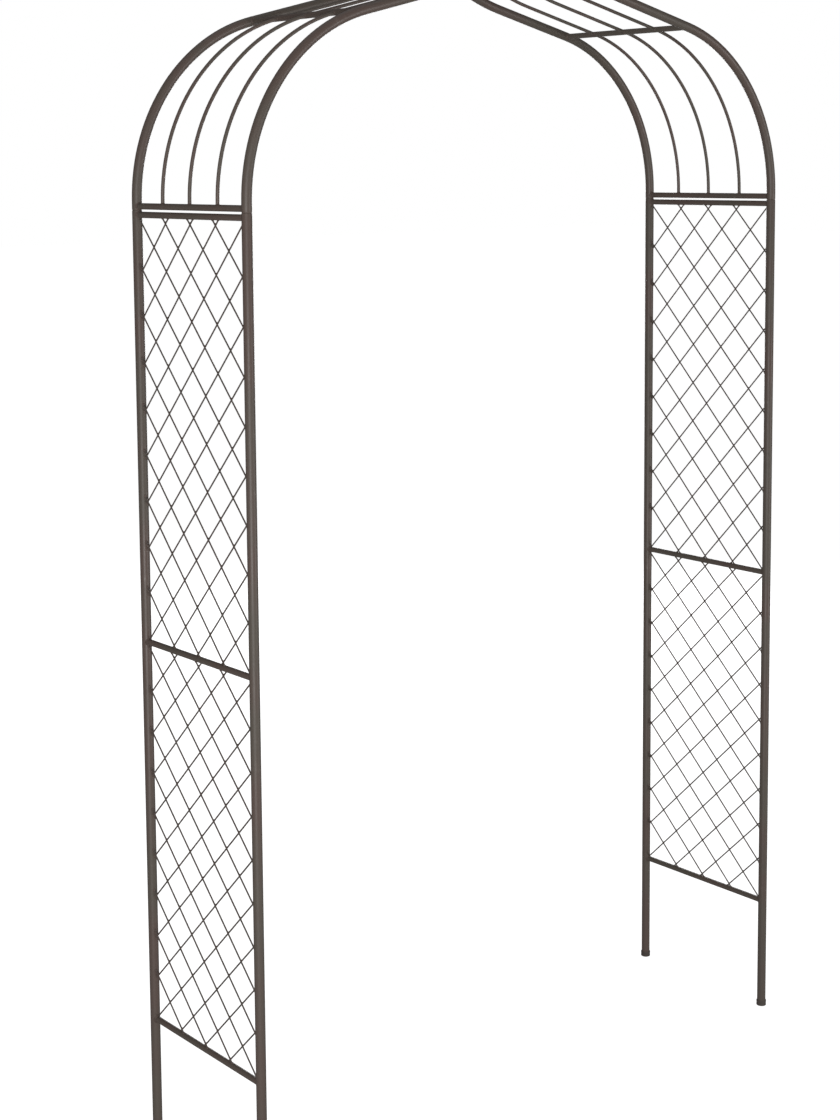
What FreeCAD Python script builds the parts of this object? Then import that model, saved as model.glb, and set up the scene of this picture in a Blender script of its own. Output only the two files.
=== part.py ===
import FreeCAD, Part

# A garden arch of welded steel tube: two upright trellis panels with a diagonal wire lattice, and an
# ogee top in two halves that plug into the panels' legs and bolt together at the peak.
#
# The row frame: X runs across the walkway, Y from front to rear, Z up. The origin is on the ground,
# midway between the four feet.
#
# Both sides are the same parts, turned half a turn about Z. So each part is drawn once in a side's own
# frame: x is 0 on the axes of the side's legs and grows towards the walkway, y is 0 midway between
# them, and the peak stands at x = half the leg spacing. place_side() then sets it on the left or right.

import math
import os

import Sketcher
from FreeCAD import Placement, Rotation, Vector

# Driving sizes in millimetres (counts where the name says so).
SIZES = [
    ("leg_spacing_x", 1381, "left leg axes to right leg axes, across the walkway"),
    ("leg_spacing_y", 366, "front leg axes to rear leg axes"),
    ("bottom_bar_z", 246, "bottom bar's axis above the ground"),
    ("middle_bar_z", 1004, "middle bar's axis above the ground"),
    ("top_bar_z", 1825, "top bar's axis above the ground"),
    ("tube_diameter", 19, "outside of the legs and of the arch tubes"),
    ("tube_wall", 1, "wall of the legs and of the arch tubes"),
    ("bar_diameter", 12, "outside of every crossbar"),
    ("bar_wall", 1, "wall of every crossbar"),
    ("rod_diameter", 7, "solid rods of the top"),
    ("rod_count", 3, "rods side by side in the top"),
    ("wire_diameter", 3, "solid wires of the lattice"),
    ("lattice_rows", 9, "diamonds up one section of the lattice"),
    ("lattice_columns", 4, "diamonds across the lattice"),
    ("lattice_top_gap", 13, "top row of crossings below the axis of the bar over it"),
    ("lattice_bottom_gap", 12, "bottom row of crossings above the axis of the bar under it"),
    ("lattice_side_gap", 16, "first and last column of crossings from the legs' axes"),
    ("joint_above_bar", 8, "slip joint above the top bar's axis, and below the base bar's"),
    ("neck_length", 2.5, "cone from the arch tube down to its spigot"),
    ("spigot_length", 32, "spigot below the slip joint"),
    ("spigot_clearance", 0.15, "radial gap between the spigot and the leg's bore"),
    ("arch_stub", 18, "straight tube between the slip joint and the shoulder curve"),
    ("shoulder_inset", 268, "shoulder bar's axis inside the leg axes"),
    ("shoulder_rise", 362.5, "shoulder bar's axis above the slip joint"),
    ("tip_radius", 440, "reverse curve up to the peak"),
    ("peak_rise", 185.5, "arch tube's axis at the peak above the shoulder bar's axis"),
    ("apex_bar_inset", 24, "apex bar's axis from the peak, along X"),
    ("plate_thickness", 3, "apex plate"),
    ("plate_width", 24, "apex plate, along Y"),
    ("plate_top_margin", 4.5, "apex plate above the cut end of the arch tube"),
    ("plate_corner", 4, "corner radius of the apex plate"),
    ("plate_hole_margin", 9, "apex bolt's axis above the plate's lower edge"),
    ("bolt_diameter", 6, "apex bolt's shank"),
    ("bolt_hole_clearance", 0.3, "radial gap round the apex bolt"),
    ("bolt_head_flats", 10, "apex bolt's head and nut across the flats"),
    ("bolt_head_height", 4, "apex bolt's head"),
    ("bolt_tip", 2, "apex bolt past its nut"),
    ("nut_height", 5, "apex nut"),
    ("washer_diameter", 12, "apex washer"),
    ("washer_thickness", 1.2, "apex washer"),
    ("washer_clearance", 1.5, "apex washer's rim clear of the arch tube"),
    ("cap_wall", 1.5, "foot cap's wall round the leg"),
    ("cap_floor", 2, "foot cap's floor under the leg"),
    ("cap_height", 12, "foot cap from the ground to its rim"),
    ("cap_chamfer", 1, "chamfer round the foot cap's lower edge"),
]

doc = FreeCAD.newDocument("TrellisArch")
sheet = doc.addObject("Spreadsheet::Sheet", "Sizes")
for row, (alias, value, note) in enumerate(SIZES, start=1):
    sheet.set(f"A{row}", alias)
    sheet.set(f"B{row}", str(value))
    sheet.setAlias(f"B{row}", alias)
    sheet.set(f"C{row}", note)
doc.recompute()


def size(alias):
    """One driving size, as the sheet holds it."""
    return float(sheet.get(alias))


def bind(obj, **expressions):
    """Ties properties of an object to the sheet; a name's double underscore stands for a dot."""
    for name, expression in expressions.items():
        obj.setExpression(name.replace("__", "."), expression)


# Places that several parts share, written as expressions on the sheet.
JOINT_Z = "(Sizes.top_bar_z + Sizes.joint_above_bar)"
BASE_BAR_Z = f"({JOINT_Z} + Sizes.joint_above_bar)"
NECK_TOP_Z = f"({JOINT_Z} + Sizes.neck_length)"
STUB_TOP_Z = f"({JOINT_Z} + Sizes.arch_stub)"
SHOULDER_Z = f"({JOINT_Z} + Sizes.shoulder_rise)"
PEAK_Z = f"({SHOULDER_Z} + Sizes.peak_rise)"
HALF_X = "(Sizes.leg_spacing_x / 2)"
HALF_Y = "(Sizes.leg_spacing_y / 2)"
TUBE_R = "(Sizes.tube_diameter / 2)"
BORE_R = f"({TUBE_R} - Sizes.tube_wall)"
SPIGOT_R = f"({BORE_R} - Sizes.spigot_clearance)"
BAR_R = "(Sizes.bar_diameter / 2)"

# The same places as numbers, for the geometry that needs working out.
joint_z = size("top_bar_z") + size("joint_above_bar")
stub_top_z = joint_z + size("arch_stub")
shoulder = Vector(size("shoulder_inset"), 0, joint_z + size("shoulder_rise"))
peak = Vector(size("leg_spacing_x") / 2, 0, shoulder.z + size("peak_rise"))
tube_r = size("tube_diameter") / 2
tip_radius = size("tip_radius")

# The shoulder arc leaves the stub upright and ends at the shoulder; a straight line runs on from it and
# turns into the tip arc, which ends at the peak. The turn is the angle that the shoulder arc covers.
shoulder_climb = shoulder.z - stub_top_z
shoulder_turn = 2 * math.atan2(shoulder.x, shoulder_climb)
shoulder_radius = shoulder.x / (1 - math.cos(shoulder_turn))
run_slope = math.pi / 2 - shoulder_turn
run_along = Vector(math.cos(run_slope), 0, math.sin(run_slope))
run_across = Vector(-math.sin(run_slope), 0, math.cos(run_slope))
peak_above_run = (peak - shoulder).dot(run_across)
tip_turn = math.acos(1 - peak_above_run / tip_radius)
tip_slope = run_slope + tip_turn
run_length = (peak - shoulder).dot(run_along) - tip_radius * math.sin(tip_turn)
run_end = shoulder + run_along * run_length
tip_centre = run_end + run_across * tip_radius

apex_bar_x = peak.x - size("apex_bar_inset")
apex_bar_z = tip_centre.z - math.sqrt(tip_radius**2 - (apex_bar_x - tip_centre.x) ** 2)

# At the peak a tube's cut end is an ellipse. The bolt sits under it, clear of the sloping tube.
cut_end_half_height = tube_r / math.cos(tip_slope)
bolt_reach = size("plate_thickness") + size("washer_thickness") + size("nut_height") + size("bolt_tip")
bolt_drop = (
    cut_end_half_height
    + bolt_reach * math.tan(tip_slope)
    + size("washer_diameter") / 2
    + size("washer_clearance")
)
bolt_z = peak.z - bolt_drop

SIDES = ("left", "right")
ENDS = (-1, 1)
LARGE = 200.0  # a length that reaches past any tube, for cutting tools
SAME_PLACE = 0.01  # two places nearer than this are the same
nodes = {}


def add_node(name, obj):
    """Labels a finished sub-part and puts it on the list of what is written out."""
    obj.Label = name
    nodes[name] = obj


def end_name(side, end):
    """Front or rear: the right side is turned, so its ends change places."""
    turned = end if side == "left" else -end
    return "front" if turned < 0 else "rear"


def place_side(obj, side, x="0", y="0", z="0"):
    """Sets an object drawn at a side's own origin at x, y, z of that side. The axes turn with it."""
    sign = -1 if side == "left" else 1
    angle = 0 if side == "left" else 180
    obj.Placement = Placement(Vector(0, 0, 0), Rotation(Vector(0, 0, 1), angle))
    bind(
        obj,
        Placement__Base__x=f"{sign} * ({HALF_X} - ({x}))",
        Placement__Base__y=f"{-sign} * ({y})",
        Placement__Base__z=z,
    )


# ---------------------------------------------------------------- sketches, bodies and primitives


def plane(body, role):
    """One of a body's own origin planes or axes."""
    return next(item for item in body.Origin.OriginFeatures if item.Role == role)


def sketch_on(body, role, name, offset=None):
    """An empty sketch on an origin plane, moved along the plane's normal by an expression."""
    sketch = body.newObject("Sketcher::SketchObject", name)
    sketch.AttachmentSupport = [(plane(body, role), "")]
    sketch.MapMode = "FlatFace"
    if offset is not None:
        bind(sketch, AttachmentOffset__Base__z=offset)
    return sketch


def constrain(sketch, kind, *where, to=None):
    """Adds a constraint and ties its value to an expression, if it has one."""
    index = sketch.addConstraint(Sketcher.Constraint(kind, *where))
    if to is not None:
        sketch.setExpression(f"Constraints[{index}]", to)


def add_circle(sketch, radius, radius_now, centre_y=0.0):
    """A circle on the sketch's vertical axis; its radius is an expression and its present value."""
    index = sketch.addGeometry(Part.Circle(Vector(0, centre_y, 0), Vector(0, 0, 1), radius_now), False)
    if centre_y == 0:
        constrain(sketch, "Coincident", index, 3, -1, 1)
    else:
        constrain(sketch, "PointOnObject", index, 3, -2)
        constrain(sketch, "DistanceY", -1, 1, index, 3, centre_y)
    constrain(sketch, "Radius", index, radius_now, to=radius)
    return index


def add_outline(sketch, points):
    """A closed outline of straight lines. Each point is a pair of (expression, present value)."""
    corners = [Vector(x[1], y[1], 0) for x, y in points]
    first = sketch.GeometryCount
    last = first + len(corners) - 1
    for index, corner in enumerate(corners):
        following = corners[(index + 1) % len(corners)]
        sketch.addGeometry(Part.LineSegment(corner, following), False)
    for line in range(first, last + 1):
        following = first if line == last else line + 1
        constrain(sketch, "Coincident", line, 2, following, 1)
    for line, (x, y) in zip(range(first, last + 1), points):
        for kind, axis, (expression, value) in (("DistanceX", -2, x), ("DistanceY", -1, y)):
            if value == 0:
                constrain(sketch, "PointOnObject", line, 1, axis)
            else:
                constrain(sketch, kind, -1, 1, line, 1, value, to=expression)


def new_body(name):
    return doc.addObject("PartDesign::Body", name)


def padded_tube(name, role, outer, outer_now, inner, inner_now, length, both_ways=False):
    """A straight tube along the normal of an origin plane."""
    body = new_body(name)
    sketch = sketch_on(body, role, name + "_section")
    add_circle(sketch, outer, outer_now)
    add_circle(sketch, inner, inner_now)
    pad = body.newObject("PartDesign::Pad", name + "_pad")
    pad.Profile = sketch
    if both_ways:
        pad.SideType = "Symmetric"
    bind(pad, Length=length)
    return body


def revolved(name, points):
    """A body turned about Z from an outline in the XZ plane."""
    body = new_body(name)
    sketch = sketch_on(body, "XZ_Plane", name + "_outline")
    add_outline(sketch, points)
    turn = body.newObject("PartDesign::Revolution", name + "_turn")
    turn.Profile = sketch
    turn.ReferenceAxis = (sketch, ["V_Axis"])
    turn.Angle = 360
    return body


def cylinder(name, radius, height, base=(0, 0, 0), direction=Vector(0, 0, 1)):
    """A Part cylinder; its radius and height are expressions, its base point numbers or expressions."""
    made = doc.addObject("Part::Cylinder", name)
    bind(made, Radius=radius, Height=height)
    made.Placement = Placement(Vector(0, 0, 0), Rotation(Vector(0, 0, 1), direction))
    bind(
        made,
        Placement__Base__x=str(base[0]),
        Placement__Base__y=str(base[1]),
        Placement__Base__z=str(base[2]),
    )
    return made


def block(name, low, high):
    """A Part box between two corners, each three numbers or expressions."""
    made = doc.addObject("Part::Box", name)
    for edge, axis, start, end in zip(("Length", "Width", "Height"), "xyz", low, high):
        made.setExpression(edge, f"({end}) - ({start})")
        made.setExpression(f"Placement.Base.{axis}", str(start))
    return made


def hex_prism(name, flats, height):
    """A hexagonal prism along Z, from the distance across its flats."""
    made = doc.addObject("Part::Prism", name)
    made.Polygon = 6
    bind(made, Circumradius=f"{flats} / (2 * cos(30 deg))", Height=height)
    return made


def fused(name, parts):
    made = doc.addObject("Part::MultiFuse", name)
    made.Shapes = parts
    return made


def cut(name, base, tool):
    made = doc.addObject("Part::Cut", name)
    made.Base = base
    made.Tool = tool
    return made


def common(name, base, tool):
    made = doc.addObject("Part::Common", name)
    made.Base = base
    made.Tool = tool
    return made


# ---------------------------------------------------------------- the ogee line


def ogee_line(body, start):
    """The centre line of the top, in the XZ plane: stub, shoulder arc, straight run, tip arc and tail.

    The tail runs on past the peak by a tube's diameter, so that a sloping end can be cut off upright.
    """
    sketch = sketch_on(body, "XZ_Plane", body.Name + "_line")
    start_now = sheet_value(start)
    stub, shoulder_arc, run, tip_arc, tail = range(5)
    tail_end = peak + Vector(math.cos(tip_slope), 0, math.sin(tip_slope)) * (2 * tube_r)
    shoulder_circle = Part.Circle(Vector(shoulder_radius, stub_top_z, 0), Vector(0, 0, 1), shoulder_radius)
    tip_circle = Part.Circle(Vector(tip_centre.x, tip_centre.z, 0), Vector(0, 0, 1), tip_radius)
    sketch.addGeometry(Part.LineSegment(Vector(0, start_now, 0), Vector(0, stub_top_z, 0)), False)
    sketch.addGeometry(Part.ArcOfCircle(shoulder_circle, math.pi - shoulder_turn, math.pi), False)
    sketch.addGeometry(
        Part.LineSegment(Vector(shoulder.x, shoulder.z, 0), Vector(run_end.x, run_end.z, 0)), False
    )
    sketch.addGeometry(
        Part.ArcOfCircle(tip_circle, run_slope - math.pi / 2, tip_slope - math.pi / 2), False
    )
    sketch.addGeometry(
        Part.LineSegment(Vector(peak.x, peak.z, 0), Vector(tail_end.x, tail_end.z, 0)), False
    )
    constrain(sketch, "PointOnObject", stub, 1, -2)
    constrain(sketch, "Vertical", stub)
    constrain(sketch, "DistanceY", -1, 1, stub, 1, start_now, to=start)
    constrain(sketch, "DistanceY", -1, 1, stub, 2, stub_top_z, to=STUB_TOP_Z)
    constrain(sketch, "Tangent", stub, 2, shoulder_arc, 2)
    constrain(sketch, "DistanceX", -1, 1, shoulder_arc, 1, shoulder.x, to="Sizes.shoulder_inset")
    constrain(sketch, "DistanceY", -1, 1, shoulder_arc, 1, shoulder.z, to=SHOULDER_Z)
    constrain(sketch, "Tangent", shoulder_arc, 1, run, 1)
    constrain(sketch, "Tangent", run, 2, tip_arc, 1)
    constrain(sketch, "Radius", tip_arc, tip_radius, to="Sizes.tip_radius")
    constrain(sketch, "DistanceX", -1, 1, tip_arc, 2, peak.x, to=HALF_X)
    constrain(sketch, "DistanceY", -1, 1, tip_arc, 2, peak.z, to=PEAK_Z)
    constrain(sketch, "Tangent", tip_arc, 2, tail, 1)
    constrain(sketch, "Distance", tail, 2 * tube_r, to="Sizes.tube_diameter")
    return sketch


def sheet_value(expression):
    """The present value of an expression on the sheet."""
    return float(sheet.evalExpression(expression.replace("Sizes.", "")))


def swept_top(name, start, radii):
    """A body swept along the ogee line from a height; one radius makes a rod and two make a tube."""
    body = new_body(name)
    section = sketch_on(body, "XY_Plane", name + "_section", offset=start)
    for radius in radii:
        add_circle(section, radius, sheet_value(radius))
    line = ogee_line(body, start)
    pipe = body.newObject("PartDesign::AdditivePipe", name + "_pipe")
    pipe.Profile = section
    pipe.Spine = (line, [])
    return body


# ---------------------------------------------------------------- tools that shape the joints

# Solid outsides of the legs, arch tubes and bars. Where two parts are welded, one is cut to the other's
# outside, so that they meet face to face.
ALONG_Y = Vector(0, 1, 0)
ALONG_X = Vector(1, 0, 0)

leg_outsides = [
    cylinder(f"leg_outside_{i}", TUBE_R, JOINT_Z, (0, f"{end} * {HALF_Y}", 0)) for i, end in enumerate(ENDS)
]
arch_outsides = []
for i, end in enumerate(ENDS):
    outside = swept_top(f"arch_outside_{i}", JOINT_Z, [TUBE_R])
    bind(outside, Placement__Base__y=f"{end} * {HALF_Y}")
    arch_outsides.append(outside)

BAR_PLACES = {
    "bottom_bar": ("0", "Sizes.bottom_bar_z"),
    "middle_bar": ("0", "Sizes.middle_bar_z"),
    "top_bar": ("0", "Sizes.top_bar_z"),
    "base_bar": ("0", BASE_BAR_Z),
    "shoulder_bar": ("Sizes.shoulder_inset", SHOULDER_Z),
    "apex_bar": (str(apex_bar_x), str(apex_bar_z)),
}
bar_outsides = {
    name: cylinder(name + "_outside", BAR_R, "Sizes.leg_spacing_y", (x, f"-{HALF_Y}", z), ALONG_Y)
    for name, (x, z) in BAR_PLACES.items()
}
leg_pair = fused("leg_pair", leg_outsides)
arch_pair = fused("arch_pair", arch_outsides)

# ---------------------------------------------------------------- side panels


def make_legs():
    """Four legs: plain tubes that stand in the foot caps and take the arch tubes' spigots."""
    for side in SIDES:
        for end in ENDS:
            name = f"{side}_{end_name(side, end)}_leg"
            leg = padded_tube(
                name,
                "XY_Plane",
                TUBE_R,
                tube_r,
                BORE_R,
                tube_r - size("tube_wall"),
                f"{JOINT_Z} - Sizes.cap_floor",
            )
            place_side(leg, side, y=f"{end} * {HALF_Y}", z="Sizes.cap_floor")
            add_node(name, leg)


def make_bars():
    """Six crossbars a side, cut to the round outsides of the legs or arch tubes at both ends."""
    bar_r = size("bar_diameter") / 2
    for name, (x, z) in BAR_PLACES.items():
        bar = padded_tube(
            name + "_tube",
            "XZ_Plane",
            BAR_R,
            bar_r,
            f"{BAR_R} - Sizes.bar_wall",
            bar_r - size("bar_wall"),
            "Sizes.leg_spacing_y",
            both_ways=True,
        )
        bind(bar, Placement__Base__x=x, Placement__Base__z=z)
        uprights = leg_pair if name in ("bottom_bar", "middle_bar", "top_bar") else arch_pair
        for side in SIDES:
            piece = cut(f"{side}_{name}", bar, uprights)
            place_side(piece, side)
            add_node(f"{side}_{name}", piece)


def lattice_layer(name, low_bar, high_bar, rising, layer_x):
    """One layer of parallel slanting wires, before it is cut to the frame.

    The crossings stand on a grid that keeps clear of the legs and bars, and the wires run on past it
    to reach them. A wire goes from leg to leg and climbs one row for each column. The layer repeats it
    upwards, one row at a time, from the wire that only clips the first corner to the one that clips
    the last. A window then keeps what lies between the two bars.
    """
    low_z = f"Sizes.{low_bar}_z"
    high_z = f"Sizes.{high_bar}_z"
    grid_z = f"({low_z} + Sizes.lattice_bottom_gap)"
    row = f"(({high_z} - Sizes.lattice_top_gap - {grid_z}) / Sizes.lattice_rows)"
    column = "((Sizes.leg_spacing_y - 2 * Sizes.lattice_side_gap) / Sizes.lattice_columns)"
    climb_to_grid = f"Sizes.lattice_side_gap * {row} / {column}"
    if rising:
        first_start = f"{grid_z} - (Sizes.lattice_columns - 1) * {row} - {climb_to_grid}"
    else:
        first_start = f"{grid_z} + {row} + {climb_to_grid}"
    lean = f"90 deg - atan({row} / {column})" if rising else f"90 deg + atan({row} / {column})"
    length = f"Sizes.leg_spacing_y / {column} * sqrt({row} ^ 2 + {column} ^ 2)"
    body = new_body(name)
    wire = body.newObject("PartDesign::AdditiveCylinder", name + "_wire")
    wire.Placement = Placement(Vector(0, 0, 0), Rotation(-ALONG_X, 45))  # the angle is bound below
    bind(
        wire,
        Radius="Sizes.wire_diameter / 2",
        Height=length,
        Placement__Base__x=layer_x,
        Placement__Base__y=f"-{HALF_Y}",
        Placement__Base__z=first_start,
        Placement__Rotation__Angle=lean,
    )
    repeat = body.newObject("PartDesign::LinearPattern", name + "_repeat")
    repeat.Originals = [wire]
    repeat.Direction = (plane(body, "Z_Axis"), [""])
    bind(
        repeat,
        Length=f"(Sizes.lattice_rows + Sizes.lattice_columns - 2) * {row}",
        Occurrences="Sizes.lattice_rows + Sizes.lattice_columns - 1",
    )
    body.Tip = repeat
    window = block(
        name + "_window",
        ("-Sizes.tube_diameter", f"-{HALF_Y}", low_z),
        ("Sizes.tube_diameter", HALF_Y, high_z),
    )
    return common(name + "_kept", body, window)


def make_lattice():
    """Four layers a side: an outer and an inner one in each section, touching where they cross."""
    panel_bars = [bar_outsides[name] for name in ("bottom_bar", "middle_bar", "top_bar")]
    panel_outside = fused("panel_outside", leg_outsides + panel_bars)
    sections = {"lower": ("bottom_bar", "middle_bar"), "upper": ("middle_bar", "top_bar")}
    layers = {"outer": (True, "-Sizes.wire_diameter / 2"), "inner": (False, "Sizes.wire_diameter / 2")}
    for section, bars in sections.items():
        for layer, (rising, layer_x) in layers.items():
            wires = lattice_layer(f"{section}_{layer}", *bars, rising, layer_x)
            for side in SIDES:
                name = f"{side}_{section}_{layer}_wires"
                piece = cut(name, wires, panel_outside)
                place_side(piece, side)
                add_node(name, piece)


def make_foot_caps():
    """Four cups that the legs stand in."""
    outer = (f"{TUBE_R} + Sizes.cap_wall", tube_r + size("cap_wall"))
    inset = (f"{TUBE_R} + Sizes.cap_wall - Sizes.cap_chamfer", outer[1] - size("cap_chamfer"))
    inner = (TUBE_R, tube_r)
    axis = ground = ("0", 0.0)
    chamfer_top = ("Sizes.cap_chamfer", size("cap_chamfer"))
    rim = ("Sizes.cap_height", size("cap_height"))
    floor = ("Sizes.cap_floor", size("cap_floor"))
    outline = [
        (axis, ground),
        (inset, ground),
        (outer, chamfer_top),
        (outer, rim),
        (inner, rim),
        (inner, floor),
        (axis, floor),
    ]
    for side in SIDES:
        for end in ENDS:
            name = f"{side}_{end_name(side, end)}_foot_cap"
            cap = revolved(name, outline)
            place_side(cap, side, y=f"{end} * {HALF_Y}")
            add_node(name, cap)


# ---------------------------------------------------------------- top halves


def make_arch_tubes():
    """Bent tubes with a necked spigot below and a cut end at the peak, where the apex plate closes it."""
    neck_per_wall = size("neck_length") / size("tube_wall")
    neck_end_now = joint_z - size("spigot_clearance") * neck_per_wall
    neck_end = f"{JOINT_Z} - Sizes.spigot_clearance * Sizes.neck_length / Sizes.tube_wall"
    spigot_now = tube_r - size("tube_wall") - size("spigot_clearance")
    wall_in = (f"{SPIGOT_R} - Sizes.tube_wall", spigot_now - size("tube_wall"))
    wall_out = (SPIGOT_R, spigot_now)
    neck_top = (NECK_TOP_Z, joint_z + size("neck_length"))
    spigot_end = (f"{JOINT_Z} - Sizes.spigot_length", joint_z - size("spigot_length"))
    spigot_outline = [
        ((TUBE_R, tube_r), neck_top),
        (wall_out, (neck_end, neck_end_now)),
        (wall_out, spigot_end),
        (wall_in, spigot_end),
        (wall_in, (neck_end, neck_end_now)),
        ((BORE_R, tube_r - size("tube_wall")), neck_top),
    ]
    plate_face_x = f"{HALF_X} - Sizes.plate_thickness"
    beyond_plate = block(
        "beyond_plate",
        (plate_face_x, f"-{LARGE}", f"{PEAK_Z} - {LARGE}"),
        (f"{HALF_X} + {LARGE}", LARGE, f"{PEAK_Z} + {LARGE}"),
    )
    tube = swept_top("arch_tube", NECK_TOP_Z, [TUBE_R, BORE_R])
    spigot_sketch = sketch_on(tube, "XZ_Plane", "spigot_outline")
    add_outline(spigot_sketch, spigot_outline)
    spigot = tube.newObject("PartDesign::Revolution", "spigot")
    spigot.Profile = spigot_sketch
    spigot.ReferenceAxis = (spigot_sketch, ["V_Axis"])
    spigot.Angle = 360
    for side in SIDES:
        for end in ENDS:
            name = f"{side}_{end_name(side, end)}_arch_tube"
            piece = cut(name, tube, beyond_plate)
            place_side(piece, side, y=f"{end} * {HALF_Y}")
            add_node(name, piece)


def make_rods():
    """Rods that follow the arch tubes' line, cut off at the bars that they are welded to."""
    count = round(size("rod_count"))
    past_apex_bar = block(
        "past_apex_bar",
        (apex_bar_x, f"-{HALF_Y}", f"{PEAK_Z} - {LARGE}"),
        (f"{HALF_X} + {LARGE}", HALF_Y, f"{PEAK_Z} + {LARGE}"),
    )
    bars = [bar_outsides[name] for name in ("base_bar", "shoulder_bar", "apex_bar")]
    stops = fused("rod_stops", bars + [past_apex_bar])
    windows = {
        "lower": block(
            "lower_rod_window",
            ("-Sizes.tube_diameter", f"-{HALF_Y}", JOINT_Z),
            ("Sizes.shoulder_inset", HALF_Y, f"{SHOULDER_Z} + {LARGE}"),
        ),
        "upper": block(
            "upper_rod_window",
            ("Sizes.shoulder_inset", f"-{HALF_Y}", JOINT_Z),
            (f"{HALF_X} + {LARGE}", HALF_Y, f"{PEAK_Z} + {LARGE}"),
        ),
    }
    for number in range(1, count + 1):
        rod = swept_top(f"rod_{number}", BASE_BAR_Z, ["Sizes.rod_diameter / 2"])
        bind(rod, Placement__Base__y=f"Sizes.leg_spacing_y * ({number} / (Sizes.rod_count + 1) - 1 / 2)")
        for level, window in windows.items():
            stretch = common(f"{level}_rod_{number}", rod, window)
            for side in SIDES:
                from_front = number if side == "left" else count + 1 - number
                name = f"{side}_{level}_rod_{from_front}"
                piece = cut(name, stretch, stops)
                place_side(piece, side)
                add_node(name, piece)


def runs_through_corner(edge, half_width):
    """True for a straight edge along X on a plate's side, which is one of its four corners."""
    if edge.Curve.TypeId != "Part::GeomLine":
        return False
    start, end = (vertex.Point for vertex in edge.Vertexes)
    along_x = abs(start.x - end.x) > SAME_PLACE
    return along_x and abs(abs(start.y) - half_width) < SAME_PLACE


def make_apex_plates():
    """Drilled plates with rounded corners that close the arch tubes at the peak."""
    width = size("plate_width")
    top = cut_end_half_height + size("plate_top_margin")
    bottom = bolt_drop + size("plate_hole_margin")
    hole_r = "Sizes.bolt_diameter / 2 + Sizes.bolt_hole_clearance"
    for side in SIDES:
        for end in ENDS:
            name = f"{side}_{end_name(side, end)}_apex_plate"
            body = new_body(name)
            sketch = sketch_on(body, "YZ_Plane", name + "_outline")
            left = ("-Sizes.plate_width / 2", -width / 2)
            right = ("Sizes.plate_width / 2", width / 2)
            low = (f"-{bottom}", -bottom)
            high = (f"{top}", top)
            add_outline(sketch, [(left, low), (right, low), (right, high), (left, high)])
            add_circle(sketch, hole_r, sheet_value(hole_r), centre_y=-bolt_drop)
            pad = body.newObject("PartDesign::Pad", name + "_pad")
            pad.Profile = sketch
            bind(pad, Length="Sizes.plate_thickness")
            doc.recompute()
            corners = [
                f"Edge{number}"
                for number, edge in enumerate(pad.Shape.Edges, start=1)
                if runs_through_corner(edge, width / 2)
            ]
            rounding = body.newObject("PartDesign::Fillet", name + "_corners")
            rounding.Base = (pad, corners)
            bind(rounding, Radius="Sizes.plate_corner")
            body.Tip = rounding
            place_side(body, side, x=f"{HALF_X} - Sizes.plate_thickness", y=f"{end} * {HALF_Y}", z=PEAK_Z)
            add_node(name, body)


# ---------------------------------------------------------------- fasteners


def group(name, parts):
    """Identical fasteners as one node of separate solids."""
    made = doc.addObject("Part::Compound", name)
    made.Links = parts
    add_node(name, made)


def lay_along_x(obj, x, y, z):
    """Points an object drawn along Z in the direction of +X, with its origin at x, y, z."""
    obj.Placement = Placement(Vector(0, 0, 0), Rotation(Vector(0, 0, 1), ALONG_X))
    bind(obj, Placement__Base__x=x, Placement__Base__y=y, Placement__Base__z=z)


def make_apex_fasteners():
    """A bolt, two washers and a nut at the front and at the rear. The bolts run from left to right."""
    bolts = []
    washers = []
    nuts = []
    washer_face = "(Sizes.plate_thickness + Sizes.washer_thickness)"
    bolt_r = "Sizes.bolt_diameter / 2"
    for end in ENDS:
        tag = "front" if end < 0 else "rear"
        y = f"{end} * {HALF_Y}"
        shank_length = f"2 * {washer_face} + Sizes.nut_height + Sizes.bolt_tip"
        head = hex_prism(f"{tag}_bolt_head", "Sizes.bolt_head_flats", "Sizes.bolt_head_height")
        shank = cylinder(f"{tag}_bolt_shank", bolt_r, shank_length, (0, 0, "Sizes.bolt_head_height"))
        bolt = fused(f"{tag}_apex_bolt", [head, shank])
        lay_along_x(bolt, f"-{washer_face} - Sizes.bolt_head_height", y, str(bolt_z))
        bolts.append(bolt)
        nut_body = hex_prism(f"{tag}_nut_body", "Sizes.bolt_head_flats", "Sizes.nut_height")
        nut_bore = cylinder(f"{tag}_nut_bore", bolt_r, "Sizes.nut_height")
        nut = cut(f"{tag}_apex_nut", nut_body, nut_bore)
        lay_along_x(nut, washer_face, y, str(bolt_z))
        nuts.append(nut)
        for place, x in (("head", f"-{washer_face}"), ("nut", "Sizes.plate_thickness")):
            disc = cylinder(
                f"{tag}_{place}_washer_disc", "Sizes.washer_diameter / 2", "Sizes.washer_thickness"
            )
            bore = cylinder(
                f"{tag}_{place}_washer_bore",
                f"{bolt_r} + Sizes.bolt_hole_clearance",
                "Sizes.washer_thickness",
            )
            washer = cut(f"{tag}_{place}_washer", disc, bore)
            lay_along_x(washer, x, y, str(bolt_z))
            washers.append(washer)
    group("apex_bolts", bolts)
    group("apex_washers", washers)
    group("apex_nuts", nuts)


# ---------------------------------------------------------------- build, check and write

make_legs()
make_bars()
make_lattice()
make_foot_caps()
make_arch_tubes()
make_rods()
make_apex_plates()
make_apex_fasteners()
doc.recompute()

for obj in doc.Objects:
    if "Invalid" in obj.State or "Error" in obj.State:
        raise RuntimeError(f"{obj.Label} failed: {obj.State}")
for name, obj in nodes.items():
    if obj.Label != name:
        raise RuntimeError(f"the label {name} is taken")
    if obj.Shape.isNull() or not obj.Shape.isValid() or not obj.Shape.Solids:
        raise RuntimeError(f"{name} is not a valid solid")

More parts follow.
